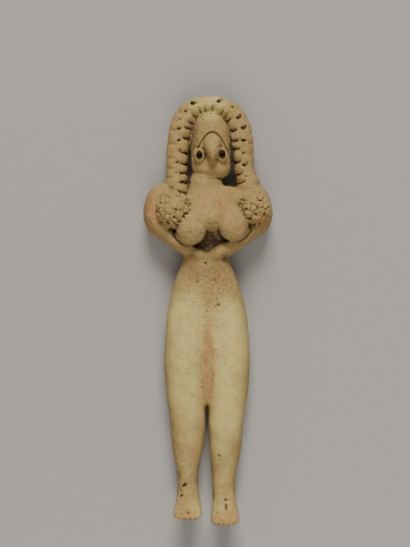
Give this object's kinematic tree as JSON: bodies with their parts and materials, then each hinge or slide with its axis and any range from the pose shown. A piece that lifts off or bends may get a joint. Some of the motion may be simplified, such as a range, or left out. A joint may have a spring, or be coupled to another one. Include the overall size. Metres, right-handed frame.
{
  "type": "terracotta figurine",
  "caption": "Hand-modelled fired-clay figurine of a standing woman with a plaited roll of hair and arms folded under the breasts, lying on its back.",
  "frame": {"origin": "on the surface that the figurine lies on, under the middle of its length and width", "axes": "+Y from the toes to the crown of the hair, +Z from the back up to the front, +X towards the figure's left hand"},
  "size_m": [0.0394, 0.1298, 0.0175],
  "materials": {
    "terracotta": "matte, unglazed, worn and pitted, with earth left in the hollows"
  },
  "bodies": {
    "root": {"figurine": "terracotta"}
  },
  "joints": []
}
